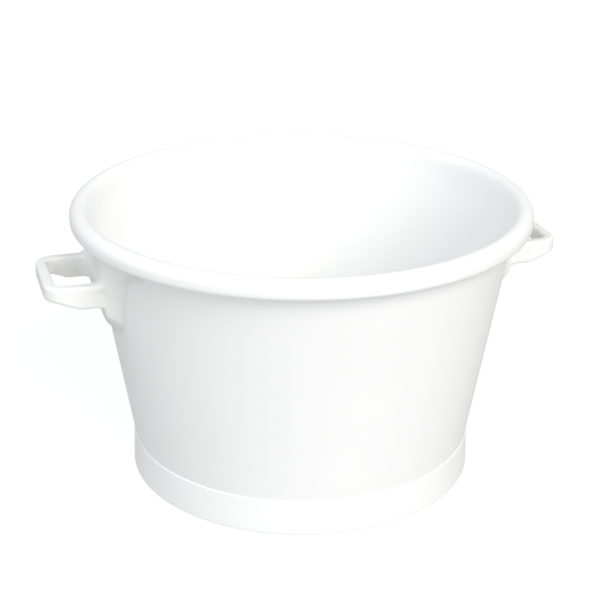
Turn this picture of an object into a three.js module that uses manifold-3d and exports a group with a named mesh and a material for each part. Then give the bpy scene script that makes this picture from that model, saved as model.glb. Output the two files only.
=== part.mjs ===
// Florist bucket: a moulded white tub with a rolled rim, a foot skirt and two rigid side handles.
// Millimetres, +Z up. The origin is on the floor under the centre of the base, the handles lie along X.

import * as THREE from 'three';
import { ConvexGeometry } from 'three/addons/geometries/ConvexGeometry.js';
import { mergeVertices } from 'three/addons/utils/BufferGeometryUtils.js';
import Module from 'manifold-3d';

const wasm = await Module();
wasm.setup();

// Whole tub
const RIM_RADIUS = 200;
const HEIGHT = 246;
const WALL = 3;
const TURN_STEPS = 72;
const GAP = 0.3;

// Cone of the wall: outer radius at floor level, and its growth per millimetre of height
const CONE_FOOT_RADIUS = 145.6;
const CONE_SLOPE = 0.1701;

// Foot skirt and floor
const SKIRT_HEIGHT = 32;
const SKIRT_TOP_RADIUS = 151.9;
const SKIRT_FOOT_RADIUS = 152.9;
const SKIRT_EDGE = 0.8;
const FLOOR_TOP = 26;
const FLOOR_THICKNESS = 3.5;
const FLOOR_RADIUS = 148.7;

// Rolled rim: an inverted U whose outer lip hangs down past the bead
const RIM_FOOT = 229.3;
const BEAD_RADIUS = 191;
const INNER_SHOULDER_Z = 236;
const OUTER_SHOULDER_Z = 237.6;
const RIM_SKIN = 2.6;
const LIP_FOOT = 231.2;
const LIP_LEAN = 0.5;
const LIP_EDGE = 0.9;

// Handles: distances along the handle's own axis are measured from the tub's centre line
const HANDLE_TOP = 198.9;
const HANDLE_REACH = 229.3;
const HANDLE_HALF_WIDTH = 41.8;
const HANDLE_CORNER = 17.4;
const STRAP = 9.6;
const GRIP_HEIGHT = 13.1;
const ARM_HEIGHT = 20.0;
const ARM_KINK = 201.6;
const ROOT_FILLET = 7;
const ROOT_PLAN_FILLET = 4;

// Handle pads: a flat face under the rim that slopes back to a rounded toe on the wall
const PAD_FACE = 184.2;
const PAD_FACE_FOOT = 178.7;
const PAD_SLOPE = 0.25;

const wallRadius = (z) => CONE_FOOT_RADIUS + CONE_SLOPE * z;
const degrees = THREE.MathUtils.degToRad;

// ---- helpers ---------------------------------------------------------------------------------

// Points along an elliptical arc, both ends included
function arc(centreX, centreY, radiusX, radiusY, startDegrees, endDegrees, steps) {
  const points = [];
  for (let i = 0; i <= steps; i += 1) {
    const angle = degrees(startDegrees + ((endDegrees - startDegrees) * i) / steps);
    points.push(new THREE.Vector2(centreX + radiusX * Math.cos(angle), centreY + radiusY * Math.sin(angle)));
  }
  return points;
}

// Turns a closed profile of (radius, height) points, listed counter-clockwise, about +Z
function turned(profile) {
  return new THREE.LatheGeometry([...profile, profile[0].clone()], TURN_STEPS).rotateX(Math.PI / 2);
}

// A plan outline raised from one height to another
function raised(outline, bottom, top) {
  const options = { depth: top - bottom, bevelEnabled: false };
  return new THREE.ExtrudeGeometry(new THREE.Shape(outline), options).translate(0, 0, bottom);
}

// A side outline of (distance from the centre line, height) points, made halfWidth wide both ways along Y
function sideways(outline, halfWidth) {
  const options = { depth: 2 * halfWidth, bevelEnabled: false };
  const geometry = new THREE.ExtrudeGeometry(new THREE.Shape(outline), options);
  return geometry.translate(0, 0, -halfWidth).rotateX(Math.PI / 2);
}

function solidFrom(geometry) {
  const bare = geometry.clone();
  bare.deleteAttribute('normal');
  bare.deleteAttribute('uv');
  const merged = mergeVertices(bare, 1e-4);
  const vertProperties = new Float32Array(merged.attributes.position.array);
  const triVerts = new Uint32Array(merged.index.array);
  return new wasm.Manifold(new wasm.Mesh({ numProp: 3, vertProperties, triVerts }));
}

function geometryFrom(solid) {
  const mesh = solid.getMesh();
  const geometry = new THREE.BufferGeometry();
  geometry.setAttribute('position', new THREE.BufferAttribute(new Float32Array(mesh.vertProperties), 3));
  geometry.setIndex(new THREE.BufferAttribute(new Uint32Array(mesh.triVerts), 1));
  geometry.computeVertexNormals();
  return geometry;
}

// ---- the tub ---------------------------------------------------------------------------------

// Conical wall, with a rounded corner where it meets the floor
function tubWall() {
  const cornerRadius = SKIRT_HEIGHT - FLOOR_TOP;
  const cornerCentre = wallRadius(SKIRT_HEIGHT) - WALL - cornerRadius;
  const corner = arc(cornerCentre, SKIRT_HEIGHT, cornerRadius, cornerRadius, 0, -80, 4);
  return turned([
    new THREE.Vector2(FLOOR_RADIUS, FLOOR_TOP),
    new THREE.Vector2(FLOOR_RADIUS, SKIRT_HEIGHT),
    new THREE.Vector2(wallRadius(SKIRT_HEIGHT), SKIRT_HEIGHT),
    new THREE.Vector2(wallRadius(RIM_FOOT), RIM_FOOT),
    new THREE.Vector2(wallRadius(RIM_FOOT) - WALL, RIM_FOOT),
    ...corner,
    new THREE.Vector2(corner[corner.length - 1].x, FLOOR_TOP),
  ]);
}

// Flat floor, raised inside the skirt
function tubFloor() {
  return turned([
    new THREE.Vector2(0, FLOOR_TOP - FLOOR_THICKNESS),
    new THREE.Vector2(FLOOR_RADIUS, FLOOR_TOP - FLOOR_THICKNESS),
    new THREE.Vector2(FLOOR_RADIUS, FLOOR_TOP),
    new THREE.Vector2(0, FLOOR_TOP),
  ]);
}

// Foot ring that flares a little towards the ground and carries the wall on its top edge
function footSkirt() {
  const inner = FLOOR_RADIUS + GAP;
  return turned([
    new THREE.Vector2(inner + SKIRT_EDGE, 0),
    ...arc(SKIRT_FOOT_RADIUS - SKIRT_EDGE, SKIRT_EDGE, SKIRT_EDGE, SKIRT_EDGE, -90, 0, 2),
    ...arc(SKIRT_TOP_RADIUS - SKIRT_EDGE, SKIRT_HEIGHT - SKIRT_EDGE, SKIRT_EDGE, SKIRT_EDGE, 0, 90, 2),
    new THREE.Vector2(inner, SKIRT_HEIGHT),
  ]);
}

// Hollow rolled bead on top of the wall
function rolledRim() {
  const innerStart = wallRadius(INNER_SHOULDER_Z) - WALL;
  const channelStart = wallRadius(INNER_SHOULDER_Z);
  const outerReach = RIM_RADIUS - BEAD_RADIUS;
  const outerRise = HEIGHT - OUTER_SHOULDER_Z;
  const innerReach = BEAD_RADIUS - innerStart;
  const innerRise = HEIGHT - INNER_SHOULDER_Z;
  const channelReach = BEAD_RADIUS - channelStart;
  const lipOuter = RIM_RADIUS - LIP_LEAN;
  const lipInner = lipOuter - RIM_SKIN;
  return turned([
    new THREE.Vector2(wallRadius(RIM_FOOT) - WALL, RIM_FOOT),
    new THREE.Vector2(wallRadius(RIM_FOOT), RIM_FOOT),
    ...arc(BEAD_RADIUS, INNER_SHOULDER_Z, channelReach, innerRise - RIM_SKIN, 180, 90, 3),
    ...arc(BEAD_RADIUS, OUTER_SHOULDER_Z, outerReach - RIM_SKIN, outerRise - RIM_SKIN, 90, 0, 4).slice(1),
    new THREE.Vector2(lipInner, LIP_FOOT + LIP_EDGE),
    new THREE.Vector2(lipInner + LIP_EDGE, LIP_FOOT),
    new THREE.Vector2(lipOuter - LIP_EDGE, LIP_FOOT),
    new THREE.Vector2(lipOuter, LIP_FOOT + LIP_EDGE),
    ...arc(BEAD_RADIUS, OUTER_SHOULDER_Z, outerReach, outerRise, 0, 90, 6),
    ...arc(BEAD_RADIUS, INNER_SHOULDER_Z, innerReach, innerRise, 90, 180, 4).slice(1),
  ]);
}

// ---- the handles -----------------------------------------------------------------------------

// Everything inside the wall's outer face, grown by the working gap
function wallSpace() {
  const top = HEIGHT + 10;
  return solidFrom(turned([
    new THREE.Vector2(0, 0),
    new THREE.Vector2(wallRadius(0) + GAP, 0),
    new THREE.Vector2(wallRadius(top) + GAP, top),
    new THREE.Vector2(0, top),
  ]));
}

// Raised pad on the wall that both arms of a handle grow from
function handlePad() {
  const faceAt = (z) => PAD_FACE - PAD_SLOPE * Math.max(0, PAD_FACE_FOOT - z);
  const onFace = (side, z) => new THREE.Vector3(faceAt(z), side, z);
  const onWall = (angle, z) => {
    const radius = wallRadius(z);
    return new THREE.Vector3(radius * Math.cos(degrees(angle)), radius * Math.sin(degrees(angle)), z);
  };
  const oneSide = [
    onFace(HANDLE_HALF_WIDTH, RIM_FOOT),
    onFace(HANDLE_HALF_WIDTH, PAD_FACE_FOOT),
    onFace(39, 164.5),
    onFace(24, 155.5),
    onFace(0, 152),
    onWall(24.9, RIM_FOOT),
    onWall(23.4, 218),
    onWall(20.6, 197),
    onWall(17.2, 171),
    onWall(15, 160),
    onWall(8, 153),
    onWall(0, 149),
  ];
  const roots = [new THREE.Vector3(160, 76, RIM_FOOT), new THREE.Vector3(160, 40, 152)];
  const points = [];
  for (const point of [...oneSide, ...roots]) {
    points.push(point, new THREE.Vector3(point.x, -point.y, point.z));
  }
  return geometryFrom(solidFrom(new ConvexGeometry(points)).subtract(wallSpace()));
}

// Plan outline of the strap: a U whose two ends stand on the pad
function strapOutline() {
  const root = PAD_FACE + GAP;
  const inner = HANDLE_HALF_WIDTH - STRAP;
  const corner = HANDLE_CORNER;
  const innerCorner = HANDLE_CORNER - STRAP;
  const outerCentre = [HANDLE_REACH - corner, HANDLE_HALF_WIDTH - corner];
  const fillet = ROOT_PLAN_FILLET;
  return [
    new THREE.Vector2(root, -HANDLE_HALF_WIDTH),
    ...arc(outerCentre[0], -outerCentre[1], corner, corner, -90, 0, 6),
    ...arc(outerCentre[0], outerCentre[1], corner, corner, 0, 90, 6),
    new THREE.Vector2(root, HANDLE_HALF_WIDTH),
    ...arc(root + fillet, inner - fillet, fillet, fillet, 180, 90, 3),
    ...arc(outerCentre[0], outerCentre[1], innerCorner, innerCorner, 90, 0, 4),
    ...arc(outerCentre[0], -outerCentre[1], innerCorner, innerCorner, 0, -90, 4),
    ...arc(root + fillet, fillet - inner, fillet, fillet, -90, -180, 3),
  ];
}

// Side outline of the strap: arms deepen towards the pad and flare up into it
function strapProfile() {
  const root = PAD_FACE + GAP;
  return [
    new THREE.Vector2(root, HANDLE_TOP - ARM_HEIGHT),
    new THREE.Vector2(ARM_KINK, HANDLE_TOP - ARM_HEIGHT),
    new THREE.Vector2(HANDLE_REACH - STRAP, HANDLE_TOP - GRIP_HEIGHT),
    new THREE.Vector2(HANDLE_REACH + 1, HANDLE_TOP - GRIP_HEIGHT),
    new THREE.Vector2(HANDLE_REACH + 1, HANDLE_TOP),
    ...arc(root + ROOT_FILLET, HANDLE_TOP + ROOT_FILLET, ROOT_FILLET, ROOT_FILLET, 270, 180, 4),
  ];
}

function handleLoop() {
  const plan = raised(strapOutline(), HANDLE_TOP - ARM_HEIGHT - 1, HANDLE_TOP + ROOT_FILLET + 1);
  const side = sideways(strapProfile(), HANDLE_HALF_WIDTH + 1);
  return geometryFrom(solidFrom(plan).intersect(solidFrom(side)));
}

// ---- assembly --------------------------------------------------------------------------------

function piece(name, geometry) {
  const material = new THREE.MeshStandardMaterial({ color: 0xf6f7f5, roughness: 0.42, metalness: 0 });
  const mesh = new THREE.Mesh(geometry, material);
  mesh.name = name;
  return mesh;
}

const bucket = new THREE.Group();
bucket.add(
  piece('tub_wall', tubWall()),
  piece('tub_floor', tubFloor()),
  piece('foot_skirt', footSkirt()),
  piece('rolled_rim', rolledRim()),
);

for (const [side, turn] of [['right', 0], ['left', Math.PI]]) {
  const handle = new THREE.Group();
  handle.rotation.z = turn;
  handle.add(piece(`${side}_handle_pad`, handlePad()), piece(`${side}_handle`, handleLoop()));
  bucket.add(handle);
}

export default bucket;
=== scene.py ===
# Finished looks of the florist bucket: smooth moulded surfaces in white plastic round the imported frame,
# with a plain pale floor, soft studio light and the camera.

import math

import bpy
import numpy as np
from mathutils import Matrix, Vector


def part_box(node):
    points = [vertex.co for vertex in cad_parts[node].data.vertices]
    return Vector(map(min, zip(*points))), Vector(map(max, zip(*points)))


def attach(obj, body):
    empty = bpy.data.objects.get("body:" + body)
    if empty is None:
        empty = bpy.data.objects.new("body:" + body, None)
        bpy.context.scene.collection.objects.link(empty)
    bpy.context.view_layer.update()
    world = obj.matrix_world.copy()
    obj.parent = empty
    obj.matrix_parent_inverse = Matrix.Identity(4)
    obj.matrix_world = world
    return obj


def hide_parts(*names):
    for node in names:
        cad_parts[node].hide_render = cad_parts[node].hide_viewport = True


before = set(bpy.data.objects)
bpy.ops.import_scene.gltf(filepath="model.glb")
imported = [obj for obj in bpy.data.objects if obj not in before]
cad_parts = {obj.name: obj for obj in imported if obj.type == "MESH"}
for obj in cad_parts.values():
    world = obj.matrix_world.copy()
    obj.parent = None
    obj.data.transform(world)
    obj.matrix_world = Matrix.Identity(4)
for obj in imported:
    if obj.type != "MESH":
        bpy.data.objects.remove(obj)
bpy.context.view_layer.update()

MM = 0.001

# ---- sizes taken from the frame, in millimetres --------------------------------------------------


def box_mm(node):
    low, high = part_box(node)
    return low / MM, high / MM


rim_low, rim_high = box_mm("rolled_rim")
wall_high = box_mm("tub_wall")[1]
skirt_high = box_mm("foot_skirt")[1]
floor_low, floor_high = box_mm("tub_floor")
handle_low, handle_high = box_mm("right_handle")
pad_low, pad_high = box_mm("right_handle_pad")

RIM_RADIUS = rim_high.x
HEIGHT = rim_high.z
RIM_FOOT = rim_low.z
SKIRT_HEIGHT = skirt_high.z
SKIRT_FOOT_RADIUS = skirt_high.x
FLOOR_TOP = floor_high.z
FLOOR_UNDER = floor_low.z
FLOOR_RADIUS = floor_high.x
HANDLE_REACH = handle_high.x
HANDLE_HALF_WIDTH = handle_high.y
PAD_FACE = pad_high.x

# Sections that the boxes don't tell
WALL = 3.0
GAP = 0.3
CONE_SLOPE = 0.1701
SKIRT_TOP_RADIUS = SKIRT_FOOT_RADIUS - 1.0
SKIRT_TOP_EDGE = 1.3
SKIRT_FOOT_EDGE = 1.2
SKIRT_CHAMFER = 0.6
RIM_SKIN = 2.6
BEAD_RADIUS = RIM_RADIUS - 9.0
INNER_SHOULDER_Z = HEIGHT - 10.0
OUTER_SHOULDER_Z = HEIGHT - 8.4
LIP_FOOT = RIM_FOOT + 1.9
LIP_CURL = 1.5
LIP_CURL_HEIGHT = 4.2
LIP_TIP = 0.6
STRAP = 9.6
ARM_HEIGHT = 20.0
GRIP_HEIGHT = 13.1
HANDLE_TOP = handle_low.z + ARM_HEIGHT

# Meshes: steps round a turned piece, how near the axis a profile point counts as on it, and the angle
# past which an edge stays sharp
TURN_STEPS = 480
ON_AXIS = 1e-6
SHARP_ANGLE = math.radians(40)


def wall_radius(z):
    return wall_high.x - CONE_SLOPE * (RIM_FOOT - z)


# ---- mesh building ---------------------------------------------------------------------------------


# How far the moulding strays from round with two, three and five waves about the axis. It strays in full
# from FULL_WARP_RADIUS outwards and less and less towards the axis.
OVAL = 0.45
THREE_WAVES = 0.12
FIVE_WAVES = 0.05
FULL_WARP_RADIUS = 120.0
LEAST_WARP_RADIUS = 40.0


def warp(points):
    """A slow drift of a few tenths of a millimetre out of round, more towards the rim, as on a moulding."""
    angle = np.arctan2(points[:, 1], points[:, 0])
    height = points[:, 2] / HEIGHT
    drift = -OVAL * height ** 2 * np.cos(2 * angle + 0.58)
    drift += THREE_WAVES * height * np.sin(3 * angle - 1.3 + 2.0 * height)
    drift += FIVE_WAVES * np.sin(5 * angle + 4.0 * height)
    radius = np.hypot(points[:, 0], points[:, 1])
    share = np.minimum(radius / FULL_WARP_RADIUS, 1.0)
    grow = 1 + drift / np.maximum(radius, LEAST_WARP_RADIUS) * share
    moved = points.copy()
    moved[:, 0] *= grow
    moved[:, 1] *= grow
    return moved


def add_mesh(name, points, faces, material, slot, replaced):
    """Adds a piece from points in millimetres, smooth shaded with its real corners kept sharp."""
    mesh = bpy.data.meshes.new(name)
    mesh.from_pydata((warp(np.asarray(points, float)) * MM).tolist(), [], faces)
    mesh.validate()
    mesh.shade_smooth()
    mesh.set_sharp_from_angle(angle=SHARP_ANGLE)
    mesh.materials.append(material)
    piece = bpy.data.objects.new(name, mesh)
    bpy.context.scene.collection.objects.link(piece)
    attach(piece, "root")
    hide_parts(*replaced)


def arc(centre_r, centre_z, radius_r, radius_z, start, end, steps):
    """Points along an elliptical arc in the (radius, height) plane, from start to end in degrees."""
    angles = [math.radians(start + (end - start) * i / steps) for i in range(steps + 1)]
    return [(centre_r + radius_r * math.cos(a), centre_z + radius_z * math.sin(a)) for a in angles]


def line(start, end, steps):
    """Points along a straight line, without its first point."""
    return [
        (start[0] + (end[0] - start[0]) * i / steps, start[1] + (end[1] - start[1]) * i / steps)
        for i in range(1, steps + 1)
    ]


def turned(profile, shape=None):
    """Points and faces of a closed profile turned about +Z. A profile point on the axis makes one vertex.

    shape(angles, ring, height) may add to the radius of one ring, the profile point of that number, at
    each angle, so that a surface isn't the same all round."""
    points, rings = [], []
    angles = np.arange(TURN_STEPS) * 2 * math.pi / TURN_STEPS
    for ring, (radius, height) in enumerate(profile):
        if radius < ON_AXIS:
            rings.append([len(points)] * TURN_STEPS)
            points.append((0.0, 0.0, height))
            continue
        radii = np.full(TURN_STEPS, float(radius))
        if shape is not None:
            radii = radii + shape(angles, ring, height)
        heights = np.full(TURN_STEPS, float(height))
        rings.append(list(range(len(points), len(points) + TURN_STEPS)))
        points += list(zip(radii * np.cos(angles), radii * np.sin(angles), heights))
    faces = []
    for low, high in zip(rings, rings[1:] + rings[:1]):
        if low[0] == low[1] and high[0] == high[1]:
            continue
        for j in range(TURN_STEPS):
            k = (j + 1) % TURN_STEPS
            corners = [low[j], low[k], high[k], high[j]]
            faces.append(tuple(dict.fromkeys(corners)))
    return points, faces


# ---- white plastic ---------------------------------------------------------------------------------


class Nodes:
    """Short calls for building one material's node tree."""

    def __init__(self, material):
        material.use_nodes = True
        self.tree = material.node_tree
        self.shader = self.tree.nodes["Principled BSDF"]

    def add(self, kind, inputs=None, **settings):
        node = self.tree.nodes.new(kind)
        for key, value in settings.items():
            setattr(node, key, value)
        for key, value in (inputs or {}).items():
            if isinstance(value, bpy.types.NodeSocket):
                self.tree.links.new(value, node.inputs[key])
            else:
                node.inputs[key].default_value = value
        return node

    def noise(self, place, scale, detail=2.0, roughness=0.5):
        inputs = {"Vector": place, "Scale": scale, "Detail": detail, "Roughness": roughness}
        return self.add("ShaderNodeTexNoise", inputs).outputs["Fac"]

    def map(self, value, low, high, to_low, to_high):
        inputs = {"Value": value, "From Min": low, "From Max": high, "To Min": to_low, "To Max": to_high}
        return self.add("ShaderNodeMapRange", inputs).outputs["Result"]

    def math(self, operation, a, b):
        return self.add("ShaderNodeMath", {0: a, 1: b}, operation=operation).outputs[0]

    def set(self, socket, value):
        if isinstance(value, bpy.types.NodeSocket):
            self.tree.links.new(value, self.shader.inputs[socket])
        else:
            self.shader.inputs[socket].default_value = value


# Heights of the surface relief in metres, and how much roughness drifts and scuffs add
PEEL_HEIGHT = 0.00004
GRAIN_HEIGHT = 0.000006
ROUGHNESS_DRIFT = 0.04
SCUFF_ROUGHNESS = 0.10


def white_plastic(name, colour, shade, roughness):
    """Moulded white plastic: faint cloudiness, a fine skin grain, slow orange peel and light scuffs."""
    material = bpy.data.materials.new(name)
    n = Nodes(material)
    place = n.add("ShaderNodeTexCoord").outputs["Object"]
    cloud = n.noise(place, scale=9.0, detail=3.0)
    grain = n.noise(place, scale=900.0)
    peel = n.noise(place, scale=70.0)
    stretched = n.add("ShaderNodeMapping", {"Vector": place, "Scale": (1.0, 1.0, 0.12)}).outputs["Vector"]
    streaks = n.noise(stretched, scale=260.0, detail=4.0, roughness=0.65)
    scuffs = n.map(streaks, 0.62, 0.78, 0.0, 1.0)
    blend = n.add("ShaderNodeMix", {"Factor": n.map(cloud, 0.35, 0.65, 0.0, 1.0)}, data_type="RGBA")
    blend.inputs[6].default_value = (*colour, 1)
    blend.inputs[7].default_value = (*shade, 1)
    n.set("Base Color", blend.outputs[2])
    slow = n.map(cloud, 0.3, 0.7, roughness - ROUGHNESS_DRIFT, roughness + ROUGHNESS_DRIFT)
    n.set("Roughness", n.math("ADD", slow, n.math("MULTIPLY", scuffs, SCUFF_ROUGHNESS)))
    height = n.math("ADD", n.math("MULTIPLY", peel, PEEL_HEIGHT), n.math("MULTIPLY", grain, GRAIN_HEIGHT))
    bump = n.add("ShaderNodeBump", {"Height": height, "Strength": 1.0, "Distance": 1.0})
    n.set("Normal", bump.outputs["Normal"])
    n.set("IOR", 1.5)
    n.set("Subsurface Weight", 0.12)
    n.set("Subsurface Radius", (1.0, 0.95, 0.85))
    n.set("Subsurface Scale", 0.004)
    return material


TUB_WHITE = white_plastic(
    "tub_white", colour=(0.945, 0.945, 0.94), shade=(0.93, 0.933, 0.928), roughness=0.40
)
HANDLE_WHITE = white_plastic(
    "handle_white", colour=(0.92, 0.92, 0.905), shade=(0.90, 0.902, 0.885), roughness=0.38
)

# ---- the tub ---------------------------------------------------------------------------------------

SINK_ANGLE = math.radians(11.5)
SINK_DEPTH = 0.35
SINK_WIDTH = 2.6
SINK_LOW = HANDLE_TOP - ARM_HEIGHT - 4
SINK_HIGH = HANDLE_TOP + 9
SINK_FADE = 2.5


def sink_marks(angles, height, radius):
    """Shallow upright hollows that the thick handle arms leave on the inside of the wall behind them."""
    fade_in = 1 + math.exp(-(height - SINK_LOW) / SINK_FADE)
    fade_out = 1 + math.exp((height - SINK_HIGH) / SINK_FADE)
    total = np.zeros_like(angles)
    for centre in (0.0, math.pi):
        for side in (-SINK_ANGLE, SINK_ANGLE):
            away = np.angle(np.exp(1j * (angles - centre - side))) * radius
            total += np.exp(-((away / SINK_WIDTH) ** 2))
    return SINK_DEPTH * total / (fade_in * fade_out)


def make_wall():
    """Conical wall with a rounded inside corner at the floor and the sink marks on its inner face."""
    corner = SKIRT_HEIGHT - FLOOR_TOP
    inner_foot = (wall_radius(SKIRT_HEIGHT) - WALL, SKIRT_HEIGHT)
    inner_top = (wall_radius(RIM_FOOT) - WALL, RIM_FOOT)
    outer_foot = (wall_radius(SKIRT_HEIGHT), SKIRT_HEIGHT)
    outer_top = (wall_radius(RIM_FOOT), RIM_FOOT)
    outside = [(FLOOR_RADIUS, FLOOR_TOP), (FLOOR_RADIUS, SKIRT_HEIGHT), outer_foot]
    outside += line(outer_foot, outer_top, 24)
    inside = [inner_top] + line(inner_top, inner_foot, 80)
    fillet = arc(inner_foot[0] - corner, SKIRT_HEIGHT, corner, corner, 0, -88, 8)[1:]
    profile = outside + inside + fillet
    inner_rings = range(len(outside), len(outside) + len(inside))

    def shape(angles, ring, height):
        if ring not in inner_rings:
            return 0.0
        return sink_marks(angles, height, wall_radius(height))

    add_mesh("wall_shell", *turned(profile, shape), TUB_WHITE, "tub_plastic", ["tub_wall"])


# Filling point under the floor, a dimple with a nub in it that stays short of the underside, and the ring
NUB_RADIUS = 1.6
NUB_SUNK = 0.2
NUB_TAPER = 0.4
NUB_FILLET = 0.1
DIMPLE_RADIUS = 9.6
DIMPLE_DEPTH = 1.0
DIMPLE_SIDE = 1.1
RING_RADIUS = 25.3
RING_DEPTH = 0.25
RING_EDGE = 1.2


def make_floor():
    """Flat floor with a faint ring on top and the filling point's dimple and nub below."""
    under, top = FLOOR_UNDER, FLOOR_TOP
    nub = [(0, under + NUB_SUNK), (NUB_RADIUS, under + NUB_SUNK)]
    nub_root = [(NUB_RADIUS + NUB_TAPER, under + DIMPLE_DEPTH - NUB_FILLET)]
    dimple = [(DIMPLE_RADIUS - DIMPLE_SIDE, under + DIMPLE_DEPTH), (DIMPLE_RADIUS, under)]
    underside = line((DIMPLE_RADIUS, under), (FLOOR_RADIUS, under), 8)
    groove = [(0.7, 0.0), (0.3, RING_DEPTH), (-0.3, RING_DEPTH), (-0.7, 0.0), (-RING_EDGE, 0.0)]
    upper_side = [(FLOOR_RADIUS, top)] + line((FLOOR_RADIUS, top), (RING_RADIUS + RING_EDGE, top), 8)
    upper_side += [(RING_RADIUS + out, top - depth) for out, depth in groove]
    profile = nub + nub_root + dimple + underside + upper_side + [(0, top)]
    add_mesh("floor_panel", *turned(profile), TUB_WHITE, "tub_plastic", ["tub_floor"])


def make_skirt():
    """Foot ring with softly rounded top and bottom edges."""
    inner = FLOOR_RADIUS + GAP
    edge, foot_edge = SKIRT_TOP_EDGE, SKIRT_FOOT_EDGE
    outer_foot = (SKIRT_FOOT_RADIUS, foot_edge)
    outer_top = (SKIRT_TOP_RADIUS, SKIRT_HEIGHT - edge)
    profile = [(inner + SKIRT_CHAMFER, 0.0)]
    profile += arc(SKIRT_FOOT_RADIUS - foot_edge, foot_edge, foot_edge, foot_edge, -90, 0, 6)
    profile += line(outer_foot, outer_top, 8)[:-1]
    profile += arc(SKIRT_TOP_RADIUS - edge, SKIRT_HEIGHT - edge, edge, edge, 0, 90, 6)
    profile += [(inner, SKIRT_HEIGHT), (inner, SKIRT_CHAMFER)]
    add_mesh("foot_ring", *turned(profile), TUB_WHITE, "tub_plastic", ["foot_skirt"])


def make_rim():
    """Hollow bead: over the inner shoulder and down the outside to a lip that curves in at its foot."""
    out_r, out_z = RIM_RADIUS - BEAD_RADIUS, HEIGHT - OUTER_SHOULDER_Z
    in_r = BEAD_RADIUS - (wall_radius(INNER_SHOULDER_Z) - WALL)
    in_z = HEIGHT - INNER_SHOULDER_Z
    channel_r = BEAD_RADIUS - wall_radius(INNER_SHOULDER_Z)
    curl = RIM_RADIUS - LIP_CURL
    channel = arc(BEAD_RADIUS, INNER_SHOULDER_Z, channel_r, in_z - RIM_SKIN, 180, 90, 10)
    lip_in = arc(BEAD_RADIUS, OUTER_SHOULDER_Z, out_r - RIM_SKIN, out_z - RIM_SKIN, 90, 0, 16)
    tip = arc(curl - LIP_TIP, LIP_FOOT + LIP_TIP, LIP_TIP, LIP_TIP, 180, 270, 4)
    tip += arc(curl, LIP_FOOT + LIP_CURL_HEIGHT, LIP_CURL, LIP_CURL_HEIGHT, 270, 360, 16)
    lip_out = arc(BEAD_RADIUS, OUTER_SHOULDER_Z, out_r, out_z, 0, 90, 24)
    shoulder = arc(BEAD_RADIUS, INNER_SHOULDER_Z, in_r, in_z, 90, 180, 18)
    down = line(lip_in[-1], tip[0], 4)[:-1]
    up = line(tip[-1], lip_out[0], 4)[:-1]
    foot_in = (wall_radius(RIM_FOOT) - WALL, RIM_FOOT)
    foot_out = (wall_radius(RIM_FOOT), RIM_FOOT)
    profile = [foot_in, foot_out] + channel + lip_in[1:] + down + tip + up + lip_out + shoulder[1:]
    add_mesh("rim_bead", *turned(profile), TUB_WHITE, "tub_plastic", ["rolled_rim"])


# ---- the handles: one moulding of pad, arms and grip, meshed from its distance field ---------------

# Pad: its face steps back and slopes below the arms, down to a toe whose edge curves up at both sides.
# The toe's underside faces outwards and down in the shares TOE_OUT and TOE_DOWN, and TOE_CLIMB keeps its
# field near a true distance where that edge climbs.
PAD_FACE_FOOT = handle_low.z
PAD_SLOPE = 0.25
PAD_STEP = 1.2
PAD_TOE = 152.0
PAD_TOE_CURVE = 0.0085
TOE_OUT = 0.62
TOE_DOWN = 0.78
TOE_CLIMB = 1.8
FACE_EDGE = 5.0
TOE_EDGE = 2.5

# Wings: the pad's sides spread towards the wall, more so higher up
WING_DEPTH = 17.2
WING_SPREAD = 0.47
WING_REACH = 21.0
WING_EDGE = 2.0

# Strap: rounded section, round corners in plan, and arms that deepen from the kink towards the pad
HANDLE_CORNER = 17.4
ARM_KINK = 201.6
KINK_BLEND = 1.0
GRIP_BLEND = 2.0
STRAP_EDGE = 2.6
ROOT_BLEND = 9.0

# Fillets: a small one round the arms that grows to TOP_BLEND on top of them, and one along the wall
PAD_BLEND = 1.6
TOP_BLEND = 7.0
TOP_BLEND_REACH = 8.0
WALL_BLEND = 2.6

# Where the moulding ends inside the wall, along the wall past its fillet, and under the rim. Past the
# fillet it stays SUNK below the wall's own surface.
INTO_WALL = 1.2
PATCH_REACH = 10.0
CEILING = HEIGHT - 4.0
SUNK = 0.02

GRID_STEP = 1.1


def joined(a, b, blend):
    """Union of two distance fields with a fillet."""
    h = np.maximum(blend - np.abs(a - b), 0) / blend
    return np.minimum(a, b) - h * h * blend / 4


def common(a, b, blend):
    """Intersection of two distance fields with a rounded edge."""
    return -joined(-a, -b, blend)


def wall_field(x, y, z):
    """The wall's outer cone, filled."""
    return (np.hypot(x, y) - wall_radius(z)) / math.hypot(1, CONE_SLOPE)


def pad_field(x, y, z):
    """Raised pad on the wall under the rim, without the wall itself."""
    face = x - PAD_FACE
    lower = (face + PAD_STEP + PAD_SLOPE * (PAD_FACE_FOOT - z)) / math.hypot(1, PAD_SLOPE)
    toe_edge = PAD_TOE + PAD_TOE_CURVE * y * y
    toe = TOE_DOWN * (toe_edge - z) + TOE_OUT * (face + PAD_STEP + PAD_SLOPE * (PAD_FACE_FOOT - PAD_TOE))
    toe = toe / np.sqrt(1 + (TOE_CLIMB * PAD_TOE_CURVE * y) ** 2)
    lean = (WING_REACH + WING_SPREAD * (z - HANDLE_TOP)) / WING_DEPTH
    wing = (np.abs(y) - HANDLE_HALF_WIDTH + face * lean) / np.sqrt(1 + lean * lean)
    pad = common(face, lower, FACE_EDGE)
    pad = common(pad, toe, TOE_EDGE)
    return common(pad, wing, WING_EDGE)


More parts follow.
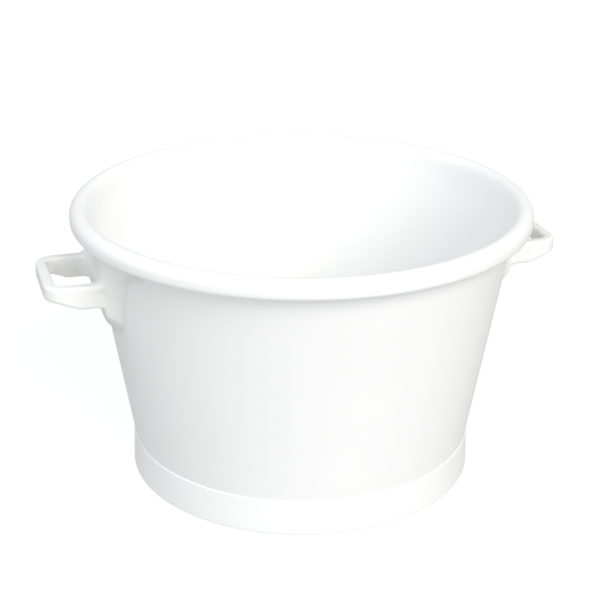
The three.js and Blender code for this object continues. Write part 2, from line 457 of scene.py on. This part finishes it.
def strap_field(x, y, z):
    """Arms and grip. The arms widen in plan where they meet the pad, but keep their height."""
    bend = HANDLE_CORNER - STRAP / 2
    along = x - (HANDLE_REACH - HANDLE_CORNER)
    aside = np.abs(y) - (HANDLE_HALF_WIDTH - HANDLE_CORNER)
    round_bend = np.hypot(np.maximum(along, 0), np.maximum(aside, 0))
    loop = round_bend + np.minimum(np.maximum(along, aside), 0) - bend
    root = common(x - PAD_FACE, np.abs(y) - HANDLE_HALF_WIDTH, WING_EDGE)
    across = joined(np.abs(loop) - STRAP / 2, root, ROOT_BLEND)
    rise = (ARM_HEIGHT - GRIP_HEIGHT) / (HANDLE_REACH - STRAP - ARM_KINK)
    arm_foot = HANDLE_TOP - ARM_HEIGHT - z
    slant = (arm_foot + rise * (x - ARM_KINK)) / math.hypot(1, rise)
    below = joined(HANDLE_TOP - GRIP_HEIGHT - z, common(arm_foot, slant, KINK_BLEND), GRIP_BLEND)
    tall = np.maximum(z - HANDLE_TOP, below)
    a, b = across + STRAP_EDGE, tall + STRAP_EDGE
    round_edge = np.hypot(np.maximum(a, 0), np.maximum(b, 0))
    return round_edge + np.minimum(np.maximum(a, b), 0) - STRAP_EDGE


def handle_field(x, y, z):
    """Pad, arms and grip with their fillets. It ends inside the wall, past its fillet and under the rim."""
    pad = pad_field(x, y, z)
    strap = strap_field(x, y, z)
    wall = wall_field(x, y, z)
    above = np.clip((z - HANDLE_TOP) / TOP_BLEND_REACH + 1, 0, 1)
    fillet = PAD_BLEND + (TOP_BLEND - PAD_BLEND) * above ** 2 * (3 - 2 * above)
    body = joined(joined(pad, strap, fillet), wall + SUNK, WALL_BLEND)
    patch = np.minimum(pad, strap) - PATCH_REACH
    ceiling = z - CEILING
    return np.maximum(np.maximum(body, -(wall + INTO_WALL)), np.maximum(patch, ceiling))


def net_of(field, low, high, step):
    """Surface nets: one vertex in each grid cell that the surface crosses, one quad per crossed edge."""
    axes = [np.arange(a, b + step, step) for a, b in zip(low, high)]
    values = field(*np.meshgrid(*axes, indexing="ij"))
    inside = values < 0
    cells = tuple(n - 1 for n in values.shape)
    total = np.zeros(cells + (3,))
    count = np.zeros(cells)
    crossings = []
    for axis in range(3):
        first = tuple(slice(None, -1) if a == axis else slice(None) for a in range(3))
        second = tuple(slice(1, None) if a == axis else slice(None) for a in range(3))
        changed = np.argwhere(inside[first] != inside[second])
        others = [a for a in range(3) if a != axis]
        edge_ok = np.all([(changed[:, a] > 0) & (changed[:, a] < cells[a]) for a in others], axis=0)
        changed = changed[edge_ok]
        ahead = changed.copy()
        ahead[:, axis] += 1
        va, vb = values[tuple(changed.T)], values[tuple(ahead.T)]
        place = changed.astype(float)
        place[:, axis] += va / (va - vb)
        for du in (0, 1):
            for dv in (0, 1):
                cell = changed.copy()
                cell[:, others[0]] -= du
                cell[:, others[1]] -= dv
                np.add.at(total, tuple(cell.T), place)
                np.add.at(count, tuple(cell.T), 1)
        crossings.append((axis, others, changed, inside[tuple(changed.T)]))
    used = count > 0
    number = np.full(cells, -1)
    number[used] = np.arange(used.sum())
    points = total[used] / count[used][:, None] * step + np.array([a[0] for a in axes])
    faces = []
    for axis, (u, v), changed, solid_first in crossings:
        corners = []
        for du, dv in ((1, 1), (0, 1), (0, 0), (1, 0)):
            cell = changed.copy()
            cell[:, u] -= du
            cell[:, v] -= dv
            corners.append(number[tuple(cell.T)])
        quads = np.stack(corners, 1)
        flip = solid_first if axis == 1 else ~solid_first
        quads[flip] = quads[flip][:, ::-1]
        faces.append(quads)
    return points, np.concatenate(faces)


def onto_surface(field, points, rounds):
    """Steps each point along the field's slope until it lies on the surface."""
    reach, longest, least_slope = 0.05, 0.5, 0.5
    for _ in range(rounds):
        value = field(*points.T)
        slope = np.stack([
            field(*(points + reach * unit).T) - field(*(points - reach * unit).T)
            for unit in np.eye(3)
        ], 1) / (2 * reach)
        steepness = np.maximum((slope ** 2).sum(1), least_slope ** 2)
        points = points - np.clip(value / steepness, -longest, longest)[:, None] * slope
    return points


def evened(points, faces):
    """Moves each point halfway to the mean of its neighbours."""
    total = np.zeros_like(points)
    count = np.zeros(len(points))
    for a, b in ((0, 1), (1, 2), (2, 3), (3, 0)):
        for start, end in ((a, b), (b, a)):
            np.add.at(total, faces[:, start], points[faces[:, end]])
            np.add.at(count, faces[:, start], 1)
    return (points + total / count[:, None]) / 2


def make_handles():
    """Meshes the handle on +X once and places it on both sides. The grid leaves room round the moulding."""
    inwards, aside, below, outwards = 14, 16, 12, 3
    low = (pad_low.x - inwards, pad_low.y - aside, pad_low.z - below)
    high = (HANDLE_REACH + outwards, pad_high.y + aside, HEIGHT)
    points, faces = net_of(handle_field, low, high, GRID_STEP)
    for _ in range(3):
        points = onto_surface(handle_field, evened(points, faces), 2)
    points = onto_surface(handle_field, points, 2)
    for side, turn in (("right", 1), ("left", -1)):
        placed = points * (turn, turn, 1)
        name = f"{side}_handle_moulding"
        nodes = [f"{side}_handle", f"{side}_handle_pad"]
        add_mesh(name, placed, faces.tolist(), HANDLE_WHITE, "handle_plastic", nodes)


make_wall()
make_floor()
make_skirt()
make_rim()
make_handles()

# ---- stage -----------------------------------------------------------------------------------------

# The floor's side in metres, its paint, and how far off each lamp stands, which changes nothing for a sun
FLOOR_SIZE = 60.0
FLOOR_GREY = 0.25
FLOOR_GLOW = 0.8
SUN_DISTANCE = 3.0

# Light colours
AIR = (0.985, 0.995, 1.0)
WARM = (1.0, 0.988, 0.95)
COOL = (0.95, 0.98, 1.0)
SKY = (0.86, 0.945, 1.0)

# Camera: where it stands round the tub and how high, which way it looks, and its lens in millimetres
VIEW_AZIMUTH = math.radians(-16.63)
VIEW_LOOK_AZIMUTH = math.radians(-16.585)
VIEW_PITCH = math.radians(22.627)
VIEW_ROLL = math.radians(0.34)
VIEW_DISTANCE = 5.923 * RIM_RADIUS * MM
VIEW_HEIGHT = 3.213 * RIM_RADIUS * MM
VIEW_LENS = 86.41


def make_floor_plane():
    """Pale floor that glows a little and is hidden from the tub's diffuse and glossy rays."""
    half = FLOOR_SIZE / 2
    mesh = bpy.data.meshes.new("studio_floor")
    corners = [(-half, -half, 0), (half, -half, 0), (half, half, 0), (-half, half, 0)]
    mesh.from_pydata(corners, [], [(0, 1, 2, 3)])
    material = bpy.data.materials.new("studio_floor_paint")
    n = Nodes(material)
    place = n.add("ShaderNodeTexCoord").outputs["Object"]
    n.set("Roughness", n.map(n.noise(place, scale=3.0), 0.3, 0.7, 0.85, 0.95))
    n.set("Base Color", (FLOOR_GREY, FLOOR_GREY, FLOOR_GREY, 1))
    n.set("Specular IOR Level", 0.1)
    n.set("Emission Color", (1, 1, 1, 1))
    n.set("Emission Strength", FLOOR_GLOW)
    mesh.materials.append(material)
    plane = bpy.data.objects.new("studio_floor", mesh)
    bpy.context.scene.collection.objects.link(plane)
    plane.visible_diffuse = False
    plane.visible_glossy = False


def aim(thing, place, target, roll=0.0):
    """Puts a lamp or camera somewhere and turns it to face a target."""
    thing.location = place
    facing = (Vector(target) - Vector(place)).to_track_quat("-Z", "Y")
    thing.rotation_mode = "QUATERNION"
    thing.rotation_quaternion = facing @ Matrix.Rotation(roll, 4, "Z").to_quaternion()


def make_sun(name, azimuth, elevation, strength, softness, colour):
    """A sun at an azimuth from -Y towards +X and an elevation, both in degrees, as is its softness."""
    light = bpy.data.lights.new(name, "SUN")
    light.energy = strength
    light.angle = math.radians(softness)
    light.color = colour
    lamp = bpy.data.objects.new(name, light)
    bpy.context.scene.collection.objects.link(lamp)
    a, e = math.radians(azimuth), math.radians(elevation)
    towards = Vector((math.sin(a) * math.cos(e), -math.cos(a) * math.cos(e), math.sin(e)))
    aim(lamp, towards * SUN_DISTANCE, (0, 0, 0))


def make_world(strength, colour):
    world = bpy.data.worlds.new("studio_air")
    world.use_nodes = True
    background = world.node_tree.nodes["Background"]
    background.inputs["Color"].default_value = (*colour, 1)
    background.inputs["Strength"].default_value = strength
    bpy.context.scene.world = world


def make_camera():
    data = bpy.data.cameras.new("photo_view")
    data.lens = VIEW_LENS
    data.sensor_width = 36
    camera = bpy.data.objects.new("photo_view", data)
    bpy.context.scene.collection.objects.link(camera)
    out_x, out_y = math.sin(VIEW_AZIMUTH), -math.cos(VIEW_AZIMUTH)
    place = Vector((out_x * VIEW_DISTANCE, out_y * VIEW_DISTANCE, VIEW_HEIGHT))
    level = math.cos(VIEW_PITCH)
    look_x, look_y = -math.sin(VIEW_LOOK_AZIMUTH), math.cos(VIEW_LOOK_AZIMUTH)
    look = Vector((look_x * level, look_y * level, -math.sin(VIEW_PITCH)))
    aim(camera, place, place + look, VIEW_ROLL)
    bpy.context.scene.camera = camera


make_floor_plane()
make_world(0.525, AIR)
make_sun("key", azimuth=15, elevation=35, strength=1.35, softness=30, colour=WARM)
make_sun("right", azimuth=30, elevation=35, strength=0.42, softness=30, colour=WARM)
make_sun("low_left", azimuth=-30, elevation=10, strength=0.75, softness=30, colour=COOL)
make_sun("side", azimuth=-100, elevation=60, strength=0.69, softness=35, colour=SKY)
make_camera()
bpy.context.scene.view_settings.view_transform = "Standard"
